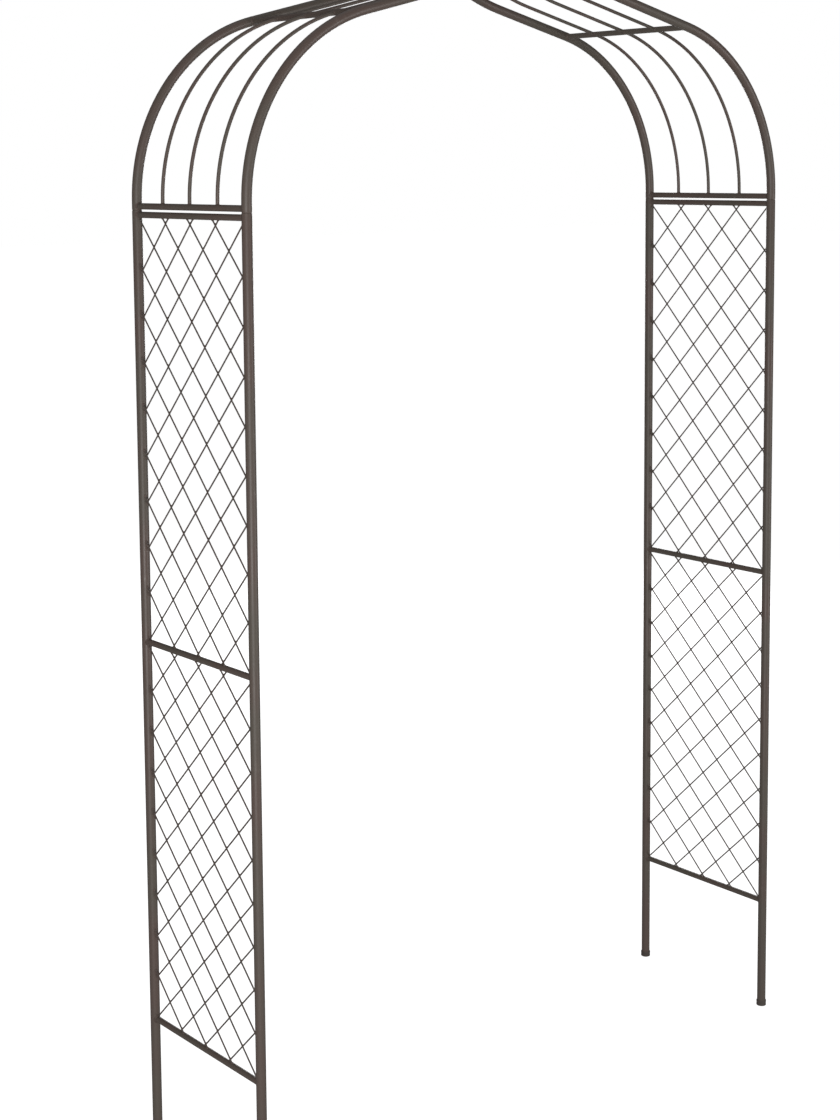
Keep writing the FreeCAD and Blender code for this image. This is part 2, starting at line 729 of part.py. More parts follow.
os.makedirs("parts", exist_ok=True)
for name, obj in nodes.items():
    obj.Shape.exportStep(f"parts/{name}.step")
    print(f"{name}: {len(obj.Shape.Solids)} solid(s), {obj.Shape.Volume:.1f} mm3")
print(f"{len(nodes)} nodes; shoulder radius {shoulder_radius:.1f}, tip slope {math.degrees(tip_slope):.1f} deg")
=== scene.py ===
# %% [markdown]
# A garden arch of welded steel tube: two trellis panels and a pointed, swept top.
#
# The arch was designed in a CAD program first, and that model loads here as a fixed frame. Its
# tubes are made of a few flat strips, which is enough for measuring but shows as facets. So this
# lesson models every tube, bar, rod, wire and fastener again, in the place that the frame gives,
# with smooth rounds, rolled rims and weld beads, and coats them with a bronze-brown powder coat.

# %% Load the frame
import math

import bmesh
import bpy
from mathutils import Matrix, Vector


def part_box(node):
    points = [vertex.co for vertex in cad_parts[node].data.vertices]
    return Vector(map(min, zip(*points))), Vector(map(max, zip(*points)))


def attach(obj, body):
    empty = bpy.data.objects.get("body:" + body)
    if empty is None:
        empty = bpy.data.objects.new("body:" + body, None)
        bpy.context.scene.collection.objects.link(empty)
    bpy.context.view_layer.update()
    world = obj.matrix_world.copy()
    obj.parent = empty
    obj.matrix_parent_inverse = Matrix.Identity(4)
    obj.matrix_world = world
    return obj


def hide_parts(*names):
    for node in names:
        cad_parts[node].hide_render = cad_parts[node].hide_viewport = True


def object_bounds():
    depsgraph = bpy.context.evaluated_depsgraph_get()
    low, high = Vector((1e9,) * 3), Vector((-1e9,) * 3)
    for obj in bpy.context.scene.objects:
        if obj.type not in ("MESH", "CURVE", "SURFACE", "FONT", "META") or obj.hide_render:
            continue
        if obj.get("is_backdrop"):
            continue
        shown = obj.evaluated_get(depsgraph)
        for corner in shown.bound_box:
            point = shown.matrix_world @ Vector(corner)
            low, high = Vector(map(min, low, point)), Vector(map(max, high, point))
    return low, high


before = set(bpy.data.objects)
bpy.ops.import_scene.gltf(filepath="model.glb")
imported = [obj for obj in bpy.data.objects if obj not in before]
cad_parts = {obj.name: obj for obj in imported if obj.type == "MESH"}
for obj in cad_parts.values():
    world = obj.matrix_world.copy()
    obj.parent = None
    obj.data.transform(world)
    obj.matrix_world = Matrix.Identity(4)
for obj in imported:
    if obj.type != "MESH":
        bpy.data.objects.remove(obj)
cad_low, cad_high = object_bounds()
bpy.ops.object.select_all(action="DESELECT")
print(f"{len(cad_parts)} CAD nodes, {cad_high.z - cad_low.z:.3f} m high")

# %% [markdown]
# Before modelling, the arch is measured. A node's box gives where a tube stands and how thick it
# is. The few sizes that no box can give, such as a bend's radius, are named here in millimetres.
# The left side is measured only: the right side is the same, turned half a turn about the upright
# Z axis.

# %% Measure the left side
MM = 0.001

leg_low, leg_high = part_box("left_front_leg")
LEG_X = (leg_low.x + leg_high.x) / 2
FRONT_Y = (leg_low.y + leg_high.y) / 2
JOINT_Z = leg_high.z
LEG_FOOT_Z = leg_low.z
TUBE_RADIUS = (leg_high.x - leg_low.x) / 2
TUBE_WALL = 1 * MM
END_Y = {"front": FRONT_Y, "rear": -FRONT_Y}
OTHER_END = {"front": "rear", "rear": "front"}


def middle(node):
    """The centre of a CAD node's box."""
    low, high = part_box(node)
    return (low + high) / 2


BARS = ("bottom_bar", "middle_bar", "top_bar", "base_bar", "shoulder_bar", "apex_bar")
bar_place = {bar: middle(f"left_{bar}") for bar in BARS}
bar_low, bar_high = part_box("left_middle_bar")
BAR_RADIUS = (bar_high.z - bar_low.z) / 2
rod_low, rod_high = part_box("left_lower_rod_2")
ROD_RADIUS = (rod_high.y - rod_low.y) / 2
WIRE_RADIUS = 1.5 * MM
print(f"legs at x {LEG_X:.4f}, y {FRONT_Y:.4f}; joint at {JOINT_Z:.4f}")
print(f"tube radius {TUBE_RADIUS:.4f}")

# %% [markdown]
# The top follows one line: a short upright stub, the shoulder bend, a straight run, and a bend
# the other way up to the peak. A bend is an arc, so a centre, a radius and an angle are all it
# needs. They follow from the shoulder bar's place, because each arc leaves the last stretch
# without a kink.

# %% Work out the line of the top
STUB = 18 * MM
PEAK_RISE = 185.5 * MM
TIP_RADIUS = 440 * MM

stub_top = JOINT_Z + STUB
shoulder = bar_place["shoulder_bar"].copy()
shoulder.y = 0
shoulder_in = shoulder.x - LEG_X
shoulder_turn = 2 * math.atan2(shoulder_in, shoulder.z - stub_top)
shoulder_radius = shoulder_in / (1 - math.cos(shoulder_turn))
shoulder_centre = Vector((LEG_X + shoulder_radius, 0, stub_top))

run_slope = math.pi / 2 - shoulder_turn
run_along = Vector((math.cos(run_slope), 0, math.sin(run_slope)))
run_across = Vector((-math.sin(run_slope), 0, math.cos(run_slope)))
to_peak = Vector((-shoulder.x, 0, PEAK_RISE))
tip_turn = math.acos(1 - to_peak.dot(run_across) / TIP_RADIUS)
tip_slope = run_slope + tip_turn
run_length = to_peak.dot(run_along) - TIP_RADIUS * math.sin(tip_turn)
run_end = shoulder + run_along * run_length
tip_centre = run_end + run_across * TIP_RADIUS
print(f"shoulder bend {math.degrees(shoulder_turn):.1f} deg of {shoulder_radius:.4f} m")
print(f"tip bend {math.degrees(tip_turn):.1f} deg of {TIP_RADIUS:.4f} m, after {run_length:.4f} m")

# %% [markdown]
# Everything is modelled with the tools of edit mode, as by hand. These helpers only save typing.
# A shape starts from one circle, with nothing else selected. Extruding a ring of edges and moving
# it grows a tube, and scaling the new ring changes its radius.

# %% Helpers for edit mode
UPRIGHT = (0, 0, 0)
HERE = (0, 0, 0)


def start_circle(name, radius, sides, place=HERE, facing=UPRIGHT):
    """Adds one circle with nothing else selected, and leaves it selected in edit mode."""
    bpy.ops.object.select_all(action="DESELECT")
    bpy.ops.mesh.primitive_circle_add(
        vertices=sides, radius=radius, location=place, rotation=facing
    )
    piece = bpy.context.object
    piece.name = piece.data.name = name
    bpy.ops.object.transform_apply(location=True, rotation=True, scale=True)
    bpy.ops.object.mode_set(mode="EDIT")
    bpy.ops.mesh.select_all(action="SELECT")
    return piece


def pull(by):
    """Extrudes the selected ring and moves the new one."""
    bpy.ops.mesh.extrude_region_move(TRANSFORM_OT_translate={"value": by})


def clean_up():
    """Merges points in one place and turns every face outwards."""
    bpy.ops.mesh.select_all(action="SELECT")
    bpy.ops.mesh.remove_doubles(threshold=0.001 * MM)
    bpy.ops.mesh.normals_make_consistent(inside=False)


def pick(piece, wanted):
    """Selects the points of a mesh in edit mode that pass a test on their place."""
    bpy.ops.mesh.select_mode(type="VERT")
    bpy.ops.mesh.select_all(action="DESELECT")
    mesh = bmesh.from_edit_mesh(piece.data)
    for point in mesh.verts:
        point.select = wanted(point.co)
    mesh.select_flush_mode()
    bmesh.update_edit_mesh(piece.data)


def only(piece):
    """Back in object mode, selects one piece and makes it the active one."""
    if bpy.context.mode != "OBJECT":
        bpy.ops.object.mode_set(mode="OBJECT")
    bpy.ops.object.select_all(action="DESELECT")
    piece.select_set(True)
    bpy.context.view_layer.objects.active = piece


def apply_modifier(piece, kind, **settings):
    """Adds a modifier, sets it up and applies it."""
    only(piece)
    modifier = piece.modifiers.new(kind.title(), kind)
    for name, value in settings.items():
        setattr(modifier, name, value)
    bpy.ops.object.modifier_apply(modifier=modifier.name)


def settle(piece, turn=None, place=HERE):
    """Turns and moves a piece, and bakes that into its mesh: its object stays at the origin."""
    only(piece)
    piece.matrix_world = Matrix.Translation(place) @ (turn or Matrix.Identity(4))
    bpy.ops.object.transform_apply(location=True, rotation=True, scale=True)
    return piece


def copy_piece(piece, name, turn=None, place=HERE):
    """A copy with its own mesh, turned and moved."""
    only(piece)
    bpy.ops.object.duplicate(linked=False)
    twin = bpy.context.object
    twin.name = twin.data.name = name
    return settle(twin, turn, place)


def join_pieces(name, pieces):
    """Makes one object of several."""
    only(pieces[0])
    for piece in pieces:
        piece.select_set(True)
    bpy.ops.object.join()
    joined = bpy.context.object
    joined.name = joined.data.name = name
    return joined


HALF_TURN = Matrix.Rotation(math.pi, 4, "Z")
ALONG_X = Matrix.Rotation(math.pi / 2, 4, "Y")
print("edit-mode helpers ready")

# %% [markdown]
# Many parts are round about one line: a leg, a foot cap, a washer, a weld bead. A maker turns
# such a part on a lathe. Here the lathe is a ring that is extruded and scaled from point to point
# of an outline, given as pairs of radius and height. A closed outline comes back to its start,
# which makes a wall with a real thickness. An open one gets its end rings filled.

# %% A lathe for round parts
def turned(name, outline, sides, closed=True):
    """A round part along Z from an outline of (radius, height) pairs in millimetres."""
    (radius, height), *rest = outline
    piece = start_circle(name, radius * MM, sides, (0, 0, height * MM))
    if closed:
        rest.append(outline[0])
    else:
        bpy.ops.mesh.edge_face_add()
    for next_radius, next_height in rest:
        growth = next_radius / radius
        pull((0, 0, (next_height - height) * MM))
        bpy.ops.transform.resize(
            value=(growth, growth, 1), center_override=(0, 0, next_height * MM)
        )
        radius, height = next_radius, next_height
    clean_up()
    only(piece)
    return piece


pieces = {}


def smooth(piece, angle=40):
    """Smooth shading, with an edge wherever two faces meet at more than this angle."""
    only(piece)
    bpy.ops.object.shade_smooth_by_angle(angle=math.radians(angle))


def hand_in(piece, coat, slot, *nodes):
    """Shades a finished piece, coats it, and hides the CAD nodes that it stands for."""
    smooth(piece)
    piece.data.materials.clear()
    piece.data.materials.append(coat)
    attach(piece, "root")
    if nodes:
        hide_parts(*nodes)
    pieces[piece.name] = len(piece.data.polygons)


print("lathe ready")

# %% [markdown]
# The finish is a powder coat: plastic powder, sprayed on and baked. It flows into a fine
# orange-peel skin, satin rather than glossy, and the brown drifts a little towards olive from
# place to place. A material is a graph of nodes. One small class wraps a node's output, so that
# sums such as 1 - mask can be written as they are read, and one method adds any other kind of
# node.


# %% A way to write materials
class Flow:
    """What flows out of one node. Arithmetic on flows adds Math nodes."""

    def __init__(self, tree, socket=None):
        self.tree = tree
        self.socket = socket

    def node(self, kind, settings, inputs):
        """Adds a node: its settings first, then a number or a flow into each input."""
        made = self.tree.nodes.new(kind)
        for name, value in settings.items():
            setattr(made, name, value)
        for name, value in inputs.items():
            if isinstance(value, Flow):
                self.tree.links.new(value.socket, made.inputs[name])
            else:
                made.inputs[name].default_value = value
        return Flow(self.tree, made.outputs[0] if len(made.outputs) else None)

    def other(self, output):
        """Another output of the same node."""
        return Flow(self.tree, self.socket.node.outputs[output])

    def math(self, operation, *values):
        return self.node("ShaderNodeMath", {"operation": operation}, dict(enumerate(values)))

    def __add__(self, value):
        return self.math("ADD", self, value)

    def __sub__(self, value):
        return self.math("SUBTRACT", self, value)

    def __rsub__(self, value):
        return self.math("SUBTRACT", value, self)

    def __mul__(self, value):
        return self.math("MULTIPLY", self, value)

    __radd__ = __add__
    __rmul__ = __mul__


def new_material(name):
    """An empty material, as a flow to hang nodes on, and the place on the object's surface."""
    material = bpy.data.materials.new(name)
    material.use_nodes = True
    material.node_tree.nodes.clear()
    board = Flow(material.node_tree)
    place = board.node("ShaderNodeTexCoord", {}, {}).other("Object")
    return material, board, place


def speckle(place, scale, detail=2.0, roughness=0.5):
    """Soft noise from 0 to 1, about 0.5 on average. The scale counts its lumps to the metre."""
    return place.node(
        "ShaderNodeTexNoise",
        {},
        {"Vector": place, "Scale": scale, "Detail": detail, "Roughness": roughness},
    )


def between(value, low, high):
    """0 where the value is under low, 1 where it is over high, and a soft step between them."""
    return value.node(
        "ShaderNodeMapRange",
        {"interpolation_type": "SMOOTHSTEP"},
        {"Value": value, "From Min": low, "From Max": high},
    )


def mix_colour(share, first, second):
    """The first colour where the share is 0, and the second where it is 1."""
    mixed = share.node("ShaderNodeMix", {"data_type": "RGBA"}, {0: share, 6: first, 7: second})
    return mixed.other(2)


def finish_material(board, shader):
    board.node("ShaderNodeOutputMaterial", {}, {"Surface": shader})


print("material tools ready")

# %% [markdown]
# Each coat has the same layers: two tones that drift into each other over a hand's width, a fine
# fleck, faint rubbed patches where the arch was handled, and the orange peel as a bump. The
# colours and the grain's size are what differ, so one function makes them all. Rubbing polishes
# the coat, so the same mask lowers the roughness.

# %% The coats
DRIFT_LUMPS = 7  # lumps to the metre
HANDLED_LUMPS = 38
BROWN = (0.118, 0.085, 0.073, 1)
OLIVE = (0.108, 0.092, 0.076, 1)
RUBBED = (0.175, 0.142, 0.125, 1)


def powder_coat(name, tones, rubbed, roughness, peel, grain):
    """A satin powder coat. The peel is the depth of its orange peel in metres."""
    material, board, place = new_material(name)
    drift = between(speckle(place, DRIFT_LUMPS, 3), 0.35, 0.65)
    fleck = speckle(place, grain * 2.5, 1)
    handled = between(speckle(place, HANDLED_LUMPS, 4, 0.6), 0.60, 0.74)
    body = mix_colour(drift, tones[0], tones[1])
    flecked = mix_colour(between(fleck, 0.55, 0.8) * 0.35, body, rubbed)
    colour = mix_colour(handled * 0.30, flecked, rubbed)
    skin = speckle(place, grain, 3, 0.55) + speckle(place, grain * 0.3, 2) * 0.6
    bump = board.node(
        "ShaderNodeBump", {}, {"Strength": 0.5, "Distance": peel, "Height": skin}
    )
    shader = board.node(
        "ShaderNodeBsdfPrincipled",
        {},
        {
            "Base Color": colour,
            "Roughness": roughness + 0.10 * drift - 0.10 * handled,
            "Specular IOR Level": 0.35,
            "Normal": bump,
        },
    )
    finish_material(board, shader)
    return material


tube_coat = powder_coat("bronze_powder_coat", (BROWN, OLIVE), RUBBED, 0.42, 0.10 * MM, 650)
WIRE_BROWN = (0.100, 0.075, 0.066, 1)
WIRE_OLIVE = (0.092, 0.080, 0.068, 1)
wire_coat = powder_coat("bronze_wire_coat", (WIRE_BROWN, WIRE_OLIVE), RUBBED, 0.46, 0.06 * MM, 1100)
WELD_BROWN = (0.092, 0.066, 0.056, 1)
weld_coat = powder_coat("coated_weld", (WELD_BROWN, BROWN), RUBBED, 0.52, 0.25 * MM, 900)
BOLT_DARK = (0.070, 0.056, 0.050, 1)
BOLT_LIGHT = (0.098, 0.080, 0.070, 1)
bolt_coat = powder_coat("fastener_coat", (BOLT_DARK, BOLT_LIGHT), RUBBED, 0.34, 0.04 * MM, 1500)
CUP_DARK = (0.078, 0.063, 0.055, 1)
CUP_LIGHT = (0.092, 0.077, 0.067, 1)
CUP_SCUFF = (0.150, 0.130, 0.115, 1)
cup_tones = (CUP_DARK, CUP_LIGHT)
cup_plastic = powder_coat("foot_cap_plastic", cup_tones, CUP_SCUFF, 0.60, 0.12 * MM, 1300)
coats = (tube_coat, wire_coat, weld_coat, bolt_coat, cup_plastic)
print("coats:", ", ".join(coat.name for coat in coats))

# %% [markdown]
# The legs are plain tube, 19 mm across with a 1 mm wall. A tube could be a cylinder, but a saw
# leaves its end square and a file breaks the sharp rim, which is what catches the light at the
# slip joint. On the lathe the rounded rim is three more points. One leg is turned, and the other
# three are copies.

# %% The four legs
FOUR_POSTS = [("left", "front"), ("left", "rear"), ("right", "front"), ("right", "rear")]


def stand_at(side, end):
    """The turn and the place that put a post made at the origin where it belongs."""
    x = LEG_X if side == "left" else -LEG_X
    return (None if side == "left" else HALF_TURN), (x, END_Y[end], 0)


def four_copies(master, name):
    """The master at each of the four posts, as {(side, end): piece}. The master is removed."""
    copies = {}
    for side, end in FOUR_POSTS:
        turn, place = stand_at(side, end)
        copies[side, end] = copy_piece(master, f"{side}_{end}_{name}", turn, place)
    bpy.data.objects.remove(master)
    return copies


TUBE_SIDES = 48
TUBE = TUBE_RADIUS / MM
BORE = TUBE - TUBE_WALL / MM
LEG_END = LEG_FOOT_Z / MM
LEG_TOP = JOINT_Z / MM
leg_outline = [
    (TUBE, LEG_END),
    (TUBE, LEG_TOP - 0.45),
    (TUBE - 0.10, LEG_TOP - 0.12),
    (TUBE - 0.38, LEG_TOP),
    (BORE, LEG_TOP),
    (BORE, LEG_END),
]
leg = turned("leg", leg_outline, TUBE_SIDES)
for (side, end), piece in four_copies(leg, "leg_tube").items():
    hand_in(piece, tube_coat, "coated_tube", f"{side}_{end}_leg")
print("legs:", [name for name in pieces if name.endswith("leg_tube")])

# %% [markdown]
# A plastic cup closes the foot of each leg, so that the tube doesn't cut into decking. It is a
# touch wider than the leg, with a rounded heel and a rolled lip. Its outline is drawn from the
# ground up the outside, over the lip and down the inside to the floor that the leg stands on.

# %% The foot cups
cup_outline = [
    (9.6, 0.0),
    (10.3, 0.15),
    (10.8, 0.6),
    (10.95, 1.3),
    (10.75, 4.0),
    (10.7, 7.6),
    (11.0, 8.5),
    (11.0, 10.9),
    (10.8, 11.6),
    (10.35, 12.0),
    (9.85, 11.9),
    (9.55, 11.4),
    (9.5, 2.0),
]
cup = turned("cup", cup_outline, TUBE_SIDES, closed=False)
for (side, end), piece in four_copies(cup, "foot_cup").items():
    hand_in(piece, cup_plastic, "foot_cap", f"{side}_{end}_foot_cap")
print("foot cups turned:", pieces["left_front_foot_cup"], "faces each")

# %% [markdown]
# A crossbar ends on the round side of a leg, so a square saw cut would only touch it at one
# point. The end is coped: filed to the leg's curve. On the mesh, each point of the end ring moves
# along the bar until it meets the leg. How far depends only on how far across the leg the point
# is, so the points that share a distance are selected and moved together. The same cope seats the
# weld beads.


# %% Cope an end to a round post
SAME = 0.001 * MM


def cope(piece, post_radius, below):
    """Lowers the points under a height onto a round post that runs along Y through the origin."""
    only(piece)
    bpy.ops.object.mode_set(mode="EDIT")
    points = [point.co for point in bmesh.from_edit_mesh(piece.data).verts]
    for offset in sorted({round(abs(co.x), 6) for co in points if co.z < below}):
        drop = post_radius - math.sqrt(post_radius**2 - offset**2)
        pick(piece, lambda co: co.z < below and round(abs(co.x), 6) == offset)
        bpy.ops.transform.translate(value=(0, 0, -drop))
    only(piece)
    return piece


def on_post(direction, post):
    """The turn that points a coped part away from its post, along a direction."""
    z_axis = Vector(direction).normalized()
    y_axis = Vector(post).normalized()
    return Matrix((y_axis.cross(z_axis), y_axis, z_axis)).transposed().to_4x4()


print("coping tool ready")

# %% [markdown]
# A crossbar is 12 mm tube between two posts. Both ends are the same, so half a bar is modelled,
# stood on its post and coped, and a Mirror modifier makes the other half. Solidify then gives the
# thin skin its 1 mm wall. Three bars sit between the upright legs and three between the bent
# tubes, where the cope turns with the tube's slope.

# %% The crossbars
BAR_SIDES = 32
half_span = -FRONT_Y
apex_x = bar_place["apex_bar"].x
apex_slope = math.asin((apex_x - tip_centre.x) / TIP_RADIUS)


def sloping(angle):
    """The direction in the side view that climbs towards the peak at an angle."""
    return Vector((math.cos(angle), 0, math.sin(angle)))


post_line = {bar: sloping(math.pi / 2) for bar in BARS}
post_line["shoulder_bar"] = sloping(run_slope)
post_line["apex_bar"] = sloping(apex_slope)

bar = start_circle("bar", BAR_RADIUS, BAR_SIDES, (0, 0, TUBE_RADIUS))
pull((0, 0, half_span - TUBE_RADIUS))
cope(bar, TUBE_RADIUS, half_span / 2)
settle(bar, place=(0, 0, -half_span))
apply_modifier(bar, "MIRROR", use_axis=(False, False, True), merge_threshold=SAME)
bpy.ops.object.mode_set(mode="EDIT")
clean_up()
apply_modifier(bar, "SOLIDIFY", thickness=TUBE_WALL, offset=-1)

for name in BARS:
    turn = on_post((0, 1, 0), post_line[name])
    left = copy_piece(bar, f"left_{name}_tube", turn, bar_place[name])
    right = copy_piece(left, f"right_{name}_tube", HALF_TURN)
    hand_in(left, tube_coat, "coated_tube", f"left_{name}")
    hand_in(right, tube_coat, "coated_tube", f"right_{name}")
bpy.data.objects.remove(bar)
print("crossbars:", [name for name in pieces if "_bar_" in name])

# %% [markdown]
# Each half of the top hangs on two bent tubes. A bender leaves arcs joined by straights, so
# spinning a ring about each bend's centre gives the true shape, with even rings and no kinks. The
# lower end is swaged: squeezed to a spigot that slips into the leg, with a short cone above it.
# The upper end is sawn off upright, by a bisect, where the apex plate closes it.

# %% The bent tubes
SPIGOT = 32 * MM
PLAY = 0.15 * MM
SPIGOT_RADIUS = TUBE_RADIUS - TUBE_WALL - PLAY
# Height above the leg's rim in millimetres, and radius in metres, up the neck.
NECK = [(-0.4, SPIGOT_RADIUS), (0.1, 8.55 * MM), (1.9, 9.3 * MM), (2.6, TUBE_RADIUS)]
plate_low, plate_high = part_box("left_front_apex_plate")
PLATE_FACE_X = plate_low.x
BEND_STEPS = 32
TIP_STEPS = 14
CLOCKWISE = -1  # seen from the front, with the walkway on the right


def bend(angle, centre, y, steps):
    """Spins the selected ring round a bend. Clockwise is from the upright over to the peak."""
    bpy.ops.mesh.spin(
        steps=steps, angle=angle, center=(centre.x, y, centre.z), axis=(0, 1, 0)
    )


spigot_end = JOINT_Z - SPIGOT
tube = start_circle("tube", SPIGOT_RADIUS, TUBE_SIDES, (LEG_X, 0, spigot_end))
height, radius = spigot_end, SPIGOT_RADIUS
for rise, next_radius in NECK:
    next_height = JOINT_Z + rise * MM
    growth = next_radius / radius
    pull((0, 0, next_height - height))
    bpy.ops.transform.resize(
        value=(growth, growth, 1), center_override=(LEG_X, 0, next_height)
    )
    height, radius = next_height, next_radius
pull((0, 0, stub_top - height))
bend(CLOCKWISE * shoulder_turn, shoulder_centre, 0, BEND_STEPS)
pull(run_along * run_length)
bend(-CLOCKWISE * tip_turn, tip_centre, 0, TIP_STEPS)
pull(sloping(tip_slope) * 2 * TUBE_RADIUS)
clean_up()
apply_modifier(tube, "SOLIDIFY", thickness=TUBE_WALL, offset=-1, use_even_offset=True)
bpy.ops.object.mode_set(mode="EDIT")
bpy.ops.mesh.select_all(action="SELECT")
bpy.ops.mesh.bisect(
    plane_co=(PLATE_FACE_X, 0, 0), plane_no=(1, 0, 0), clear_outer=True, use_fill=False
)
pick(tube, lambda co: abs(co.x - PLATE_FACE_X) < SAME)
bpy.ops.mesh.bridge_edge_loops()
only(tube)

for end in END_Y:
    left = copy_piece(tube, f"left_{end}_bent_tube", place=(0, END_Y[end], 0))
    right = copy_piece(left, f"right_{OTHER_END[end]}_bent_tube", HALF_TURN)
    hand_in(left, tube_coat, "coated_tube", f"left_{end}_arch_tube")
    hand_in(right, tube_coat, "coated_tube", f"right_{OTHER_END[end]}_arch_tube")
bpy.data.objects.remove(tube)
print("bent tubes:", pieces["left_front_bent_tube"], "faces each")

# %% [markdown]
# Three solid rods follow the same line between the bent tubes. Each is cut at the shoulder bar
# and carries on from its other side, so a half has three lower and three upper rods. They stop
# inside the skin of the bars, where the weld holds them.

# %% The rods
ROD_SIDES = 20
BITE = 4.9 * MM  # from a bar's axis to a rod's end
rod_row = [middle(f"left_lower_rod_{number}").y for number in (1, 2, 3)]


def close_ends():
    """Fills both open ends of a rod or wire."""
    bpy.ops.mesh.select_all(action="SELECT")
    bpy.ops.mesh.fill_holes(sides=0)
    clean_up()


base = bar_place["base_bar"]
lower = start_circle("lower", ROD_RADIUS, ROD_SIDES, (LEG_X, 0, base.z + BITE))
pull((0, 0, stub_top - base.z - BITE))
bend(CLOCKWISE * (shoulder_turn - BITE / shoulder_radius), shoulder_centre, 0, BEND_STEPS)
close_ends()

only(lower)
upper = start_circle("upper", ROD_RADIUS, ROD_SIDES)
settle(upper, Matrix.Rotation(math.pi / 2 - run_slope, 4, "Y"), shoulder + run_along * BITE)
bpy.ops.object.mode_set(mode="EDIT")
bpy.ops.mesh.select_all(action="SELECT")
pull(run_along * (run_length - BITE))
bend(-CLOCKWISE * (apex_slope - run_slope - BITE / TIP_RADIUS), tip_centre, 0, TIP_STEPS)
close_ends()

for level, rod in (("lower", lower), ("upper", upper)):
    for number, y in enumerate(rod_row, start=1):
        turned_number = len(rod_row) + 1 - number
        left = copy_piece(rod, f"left_{level}_rod_{number}_round", place=(0, y, 0))
        right = copy_piece(left, f"right_{level}_rod_{turned_number}_round", HALF_TURN)
        hand_in(left, tube_coat, "coated_tube", f"left_{level}_rod_{number}")
        hand_in(right, tube_coat, "coated_tube", f"right_{level}_rod_{turned_number}")
bpy.data.objects.remove(lower)
bpy.data.objects.remove(upper)
print("rods:", len([name for name in pieces if "_rod_" in name]))

# %% [markdown]
# The lattice is 3 mm wire in two layers that touch: one climbs to the rear, the other to the
# front. The crossings form a grid that stays a little clear of the legs and bars, and the wires
# run on past it to be welded. The wires of a layer are alike, so one is modelled and an Array
# modifier repeats it up the panel. Four bisects, like four saw cuts, then trim the layer. Each
# cut lies inside a tube's skin, so that no gap shows and nothing enters a bore.

# %% The lattice layers
COLUMNS = 4
ROWS = 9
TOP_GAP = 13 * MM  # from a bar's axis down to the top row of crossings
BOTTOM_GAP = 12 * MM  # from a bar's axis up to the bottom row of crossings
SIDE_GAP = 16 * MM  # from a leg's axis to the nearest column of crossings
LEG_CUT = 9.0 * MM
BAR_CUT = 5.3 * MM
WIRE_SIDES = 12
SECTIONS = {"lower": ("bottom_bar", "middle_bar"), "upper": ("middle_bar", "top_bar")}
LAYERS = {"outer": (1, -WIRE_RADIUS), "inner": (-1, WIRE_RADIUS)}
column = 2 * (half_span - SIDE_GAP) / COLUMNS
grid_y = FRONT_Y + SIDE_GAP


def grid_rows(section):
    """Where the grid of crossings starts in a section, and the height of one row."""
    low_bar, high_bar = SECTIONS[section]
    grid_z = bar_place[low_bar].z + BOTTOM_GAP
    return grid_z, (bar_place[high_bar].z - TOP_GAP - grid_z) / ROWS


def saw(place, outwards):
    """Cuts off what lies beyond a plane and closes the cut ends."""
    bpy.ops.mesh.select_all(action="SELECT")
    bpy.ops.mesh.bisect(plane_co=place, plane_no=outwards, clear_outer=True, use_fill=True)


def wire_layer(name, section, climb, layer_x):
    """One layer of parallel wires between two bars. They climb to the rear, or to the front."""
    low_bar, high_bar = SECTIONS[section]
    grid_z, row = grid_rows(section)
    across = Vector((0, column, climb * row)) * (2 * half_span / column)
    first_row = 1 - COLUMNS if climb > 0 else 1
    start_z = grid_z + first_row * row - climb * row * SIDE_GAP / column
    layer = start_circle(name, WIRE_RADIUS, WIRE_SIDES)
    pull((0, 0, across.length))
    turn = Vector((0, 0, 1)).rotation_difference(across).to_matrix().to_4x4()
    settle(layer, turn, (LEG_X + layer_x, FRONT_Y, start_z))
    apply_modifier(
        layer,
        "ARRAY",
        count=ROWS + COLUMNS - 1,
        use_relative_offset=False,
        use_constant_offset=True,
        constant_offset_displace=(0, 0, row),
    )
    bpy.ops.object.mode_set(mode="EDIT")
    saw((0, FRONT_Y + LEG_CUT, 0), (0, -1, 0))
    saw((0, -FRONT_Y - LEG_CUT, 0), (0, 1, 0))
    saw((0, 0, bar_place[low_bar].z + BAR_CUT), (0, 0, -1))
    saw((0, 0, bar_place[high_bar].z - BAR_CUT), (0, 0, 1))
    clean_up()
    only(layer)
    return layer


for section in SECTIONS:
    for layer_name, (climb, layer_x) in LAYERS.items():
        name = f"{section}_{layer_name}_lattice"
        left = wire_layer(f"left_{name}", section, climb, layer_x)
        right = copy_piece(left, f"right_{name}", HALF_TURN)
        hand_in(left, wire_coat, "coated_wire", f"left_{section}_{layer_name}_wires")
        hand_in(right, wire_coat, "coated_wire", f"right_{section}_{layer_name}_wires")
print("lattice layers:", len([name for name in pieces if name.endswith("lattice")]))

# %% [markdown]
# Where two wires cross, a spot welder presses them into each other and leaves a flat button. It
# shows only as a thicker, darker dot, but without it the lattice looks loose. There are 82 dots
# in each section, so the button has few faces. Arrays repeat it over three grids: four across
# between the rows, three across on the rows, and one column beside each leg, which has no dots in
# its corners.

# %% Spot welds at the crossings
BUTTON_SIDES = 8
button_outline = [(0.9, -1.5), (1.9, -1.0), (2.3, 0.0), (1.9, 1.0), (0.9, 1.5)]


def grid_of(piece, across, up, step_y, step_z):
    """Repeats a piece over an upright grid."""
    for count, step in ((across, (0, step_y, 0)), (up, (0, 0, step_z))):
        apply_modifier(
            piece,
            "ARRAY",
            count=count,
            use_relative_offset=False,
            use_constant_offset=True,
            constant_offset_displace=step,
        )


